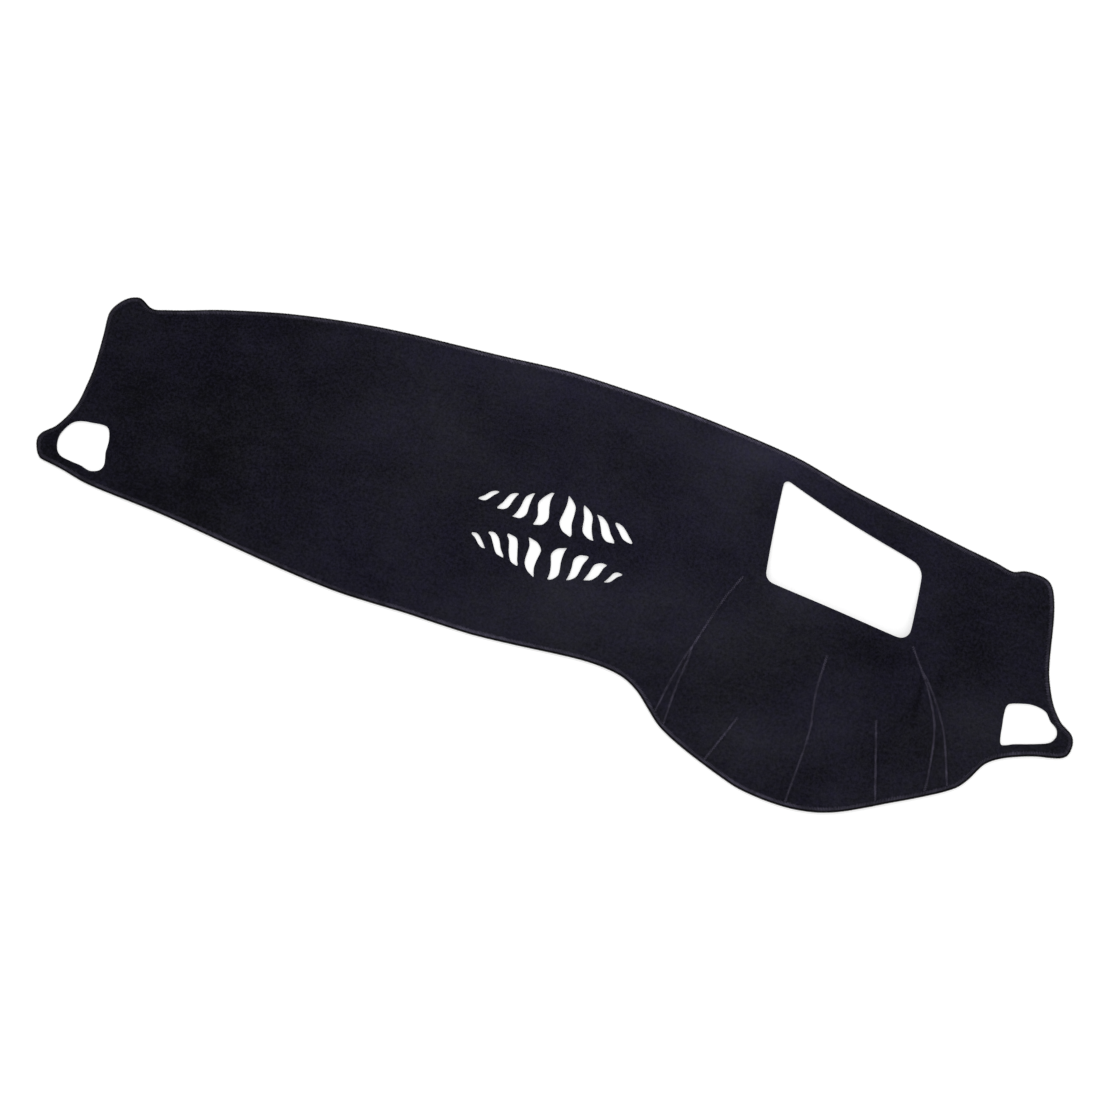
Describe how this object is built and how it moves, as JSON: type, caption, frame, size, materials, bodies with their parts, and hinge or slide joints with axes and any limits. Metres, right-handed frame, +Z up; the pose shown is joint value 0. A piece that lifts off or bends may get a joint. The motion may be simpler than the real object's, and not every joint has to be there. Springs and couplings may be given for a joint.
{
  "type": "dashboard cover mat",
  "caption": "Velvet-faced mat that covers a car dashboard, with an overlocked rim, openings for vents and a head-up display, a slotted grille and a sewn dome over the instruments.",
  "frame": {"origin": "middle of the bounding box, on the underside of the sheet", "axes": "+X along the mat to its right-hand end, +Y towards the windscreen rim, +Z up out of the pile"},
  "size_m": [1.452, 0.4942, 0.0359],
  "materials": {
    "velvet": "near-black blue-violet short pile, dull with a soft sheen",
    "overlock_thread": "dark grey textured thread, close overlock stitches",
    "dart_thread": "dark grey textured thread, one close row along each dart"
  },
  "bodies": {
    "root": {"mat_sheet": "velvet", "rim_overlock": "overlock_thread", "dart_thread_1": "dart_thread", "dart_thread_2": "dart_thread", "dart_thread_3": "dart_thread", "dart_thread_4": "dart_thread", "dart_thread_5": "dart_thread"}
  },
  "joints": []
}
